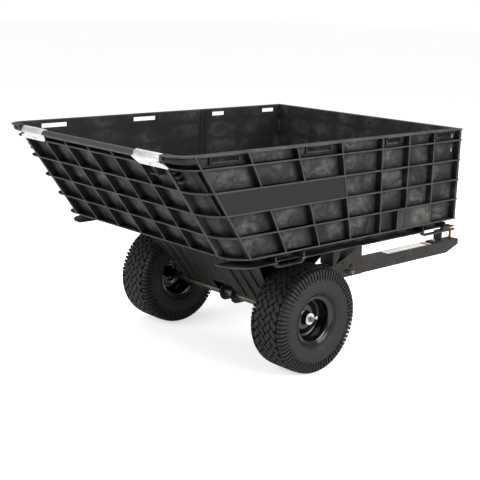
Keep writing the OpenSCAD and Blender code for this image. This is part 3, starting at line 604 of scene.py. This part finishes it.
def shoulder_pair():
    """Two neighbouring shoulder lugs on each side, a long and a short one. They fold over the
    tyre's shoulder and run out down the sidewall, half a pitch apart."""
    build = bmesh.new()
    pitch = 2 * math.pi * TREAD_R / LUG_COUNT
    for k, (start, end) in enumerate(((56.5, 146), (60, 151))):
        picks = [i for i, (r, y) in enumerate(smooth_outside) if y >= start and r >= end][::3]
        for mirror in (1, -1):
            rows = []
            for n, i in enumerate(picks):
                r, y = smooth_outside[i]
                nr, ny = outward(smooth_outside, i)
                share = n / (len(picks) - 1)
                half = 5.7 - 1.9 * share
                deep = groove_depth(r) + 1.6
                lift = 0.1 + 0.6 * share
                section = ((-1, half + 0.5, deep), (-1, half, lift), (1, half, lift), (1, half + 0.5, deep))
                rows.append([build.verts.new(on_tread(k * pitch / 2 + s * wide, mirror * (y - ny * d),
                    r - nr * d)) for s, wide, d in section])
            for a, b in zip(rows, rows[1:]):
                for i in range(3):
                    build.faces.new((a[i], a[i + 1], b[i + 1], b[i]))
            build.faces.new(rows[0])
            build.faces.new(rows[-1][::-1])
    bmesh.ops.recalc_face_normals(build, faces=build.faces)
    return finished(build, "shoulder_pair", 40)


def ring_tree():
    """Geometry Nodes: copies the piece it is given round a wheel's axis."""
    tree = bpy.data.node_groups.new("round_the_wheel", "GeometryNodeTree")
    sockets = {"Piece": "NodeSocketGeometry", "Count": "NodeSocketInt", "Wheel centre": "NodeSocketVector",
        "Finish": "NodeSocketMaterial"}
    keys = {name: tree.interface.new_socket(name, in_out="INPUT", socket_type=kind).identifier
        for name, kind in sockets.items()}
    tree.interface.new_socket("Ring", in_out="OUTPUT", socket_type="NodeSocketGeometry")
    given = tree.nodes.new("NodeGroupInput").outputs
    index = add(tree, "GeometryNodeInputIndex").outputs[0]
    share = add(tree, "ShaderNodeMath", {0: index, 1: given["Count"]}, operation="DIVIDE").outputs[0]
    turn = add(tree, "ShaderNodeMath", {0: share, 1: 2 * math.pi}, operation="MULTIPLY").outputs[0]
    points = add(tree, "GeometryNodePoints", {"Count": given["Count"], "Position": given["Wheel centre"]})
    copies = add(tree, "GeometryNodeInstanceOnPoints", {
        "Points": points.outputs[0], "Instance": given["Piece"],
        "Rotation": add(tree, "ShaderNodeCombineXYZ", {"Y": turn}).outputs[0]})
    real = add(tree, "GeometryNodeRealizeInstances", {"Geometry": copies.outputs[0]})
    coated = add(tree, "GeometryNodeSetMaterial", {"Geometry": real.outputs[0], "Material": given["Finish"]})
    add(tree, "NodeGroupOutput", {0: coated.outputs[0]})
    return tree, keys


round_the_wheel, ring_keys = ring_tree()


def ring_of(name, mesh, count, centre, finish):
    """A plain mesh of count copies round the axis."""
    thing = piece(name, mesh, finish)
    modifier = thing.modifiers.new("ring", "NODES")
    modifier.node_group = round_the_wheel
    for key, value in (("Count", count), ("Wheel centre", tuple(centre)), ("Finish", finish)):
        modifier[ring_keys[key]] = value
    bpy.context.view_layer.update()
    evaluated = thing.evaluated_get(bpy.context.evaluated_depsgraph_get())
    result = bpy.data.meshes.new_from_object(evaluated)
    thing.modifiers.clear()
    thing.data = result
    return thing


# The rim's face from the rolled lip through the bead seat and the well to the hub
rim_face = [(92.2, 57), (92.6, 60), (91.6, 61.9), (89.4, 61.6), (88.2, 59.4), (85.6, 57.4), (79.6, 55.4),
    (75.2, 52.6), (73.6, 48), (73.2, 22), (72.2, 10), (68.5, 5.8), (60, 4.8), (51, 7.4), (43, 10.2),
    (34, 9.4), (27, 8.6), (22, 11.5), (18.4, 17)]
rim_back = [(73.2, 30), (73.2, -38), (75.2, -52.6), (79.6, -55.4), (85.6, -57.4), (88.2, -59.4),
    (89.4, -61.6), (91.6, -61.9), (92.6, -60), (92.2, -57)]
hub_tube = [(18, -49.6), (18, 29.6), (16.9, 29.9), (13.2, 29.9), (13.2, -49.9), (16.9, -49.9)]

for side_name, side in (("left", 1), ("right", -1)):
    body = "wheel_" + side_name
    low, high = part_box("tyre_" + side_name)
    centre = (low + high) / 2
    tyre = turned("tyre_carcass_" + side_name, carcass_outline(), centre, side, rubber, segments=144)
    blocks = ring_of("tyre_tread_" + side_name, tread_pitch(), LUG_COUNT, centre, rubber)
    lugs = ring_of("tyre_shoulder_lugs_" + side_name, shoulder_pair(), LUG_COUNT, centre, rubber)
    dish = turned("rim_dish_" + side_name, thickened(rounded(rim_face, 2), 2.4), centre, side, rim_enamel)
    barrel = turned("rim_barrel_" + side_name, thickened(rounded(rim_back, 2), 2.4), centre, side, rim_enamel)
    hub = turned("rim_hub_" + side_name, hub_tube, centre, side, rim_enamel, segments=64)
    for thing in (tyre, blocks, lugs):
        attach(thing, body)
    for thing in (dish, barrel, hub):
        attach(thing, body)
    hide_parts("tyre_" + side_name)
    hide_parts("rim_" + side_name)


# ---- Floor, light and camera -----------------------------------------------------------------
# The floor and the background look whiter to the camera than the light that they give
SEEN_GLOW = 0.6
SKY_LIGHT = 0.42


def studio_floor():
    build = bmesh.new()
    bmesh.ops.create_grid(build, x_segments=1, y_segments=1, size=40)
    mesh = bpy.data.meshes.new("studio_floor")
    build.to_mesh(mesh)
    build.free()
    material, tree, skin, here = blank("studio_floor_paint", Roughness=0.9, Specular_IOR_Level=0.1,
        Emission_Color=(1, 1, 1, 1))
    # a paper sweep burnt out to white where it is seen, which lights nothing itself
    seen = add(tree, "ShaderNodeLightPath").outputs["Is Camera Ray"]
    tree.links.new(calc(tree, "MULTIPLY", seen, SEEN_GLOW), skin.inputs["Emission Strength"])
    paper = blend(tree, clouds(tree, here, 1500), linear("#f2f2f2"), linear("#f5f5f5"))
    tree.links.new(paper, skin.inputs["Base Color"])
    floor = piece("studio_floor", mesh, material)


def soft_box(name, position, target, size, power):
    data = bpy.data.lights.new(name, "AREA")
    data.shape = "RECTANGLE"
    data.size, data.size_y = size
    data.energy = power
    lamp = bpy.data.objects.new(name, data)
    lamp.location = position
    lamp.rotation_euler = (Vector(target) - Vector(position)).to_track_quat("-Z", "Y").to_euler()
    bpy.context.scene.collection.objects.link(lamp)


studio_floor()
soft_box("overhead_soft_box", (-0.2, 0.2, 3.6), (-0.1, 0, 0.4), (4.5, 3.5), 150)
soft_box("side_soft_box", (0.6, -4.2, 2.2), (-0.1, 0, 0.45), (3.0, 1.8), 160)
soft_box("rear_soft_box", (-4.2, 1.0, 2.4), (-0.3, 0, 0.5), (2.6, 2.2), 85)

world = bpy.data.worlds.new("studio_world")
world.use_nodes = True
world.node_tree.nodes["Background"].inputs[0].default_value = (1, 1, 1, 1)
# White where it is seen, a little dimmer as a light
seen = add(world.node_tree, "ShaderNodeLightPath").outputs["Is Camera Ray"]
world.node_tree.links.new(calc(world.node_tree, "MULTIPLY_ADD", seen, SEEN_GLOW, SKY_LIGHT),
    world.node_tree.nodes["Background"].inputs[1])
bpy.context.scene.world = world
bpy.context.scene.view_settings.view_transform = "Standard"

azimuth, elevation, roll = (math.radians(angle) for angle in (226.86, 13.25, 1.77))
back = Vector((math.cos(elevation) * math.cos(azimuth), math.cos(elevation) * math.sin(azimuth),
    math.sin(elevation)))
right = (-back).cross(Vector((0, 0, 1))).normalized()
up = right.cross(-back)
right, up = math.cos(roll) * right + math.sin(roll) * up, -math.sin(roll) * right + math.cos(roll) * up
camera = bpy.data.objects.new("camera", bpy.data.cameras.new("camera"))
camera.data.sensor_width = 36
camera.data.lens = 1015.59 / 480 * 36
camera.data.shift_x, camera.data.shift_y = -0.00254, -0.00644
camera.matrix_world = Matrix.Translation(place(34.21, -5.27, 405.28) + back * 3.81747) @ \
    Matrix((right, up, back)).transposed().to_4x4()
bpy.context.scene.collection.objects.link(camera)
bpy.context.scene.camera = camera
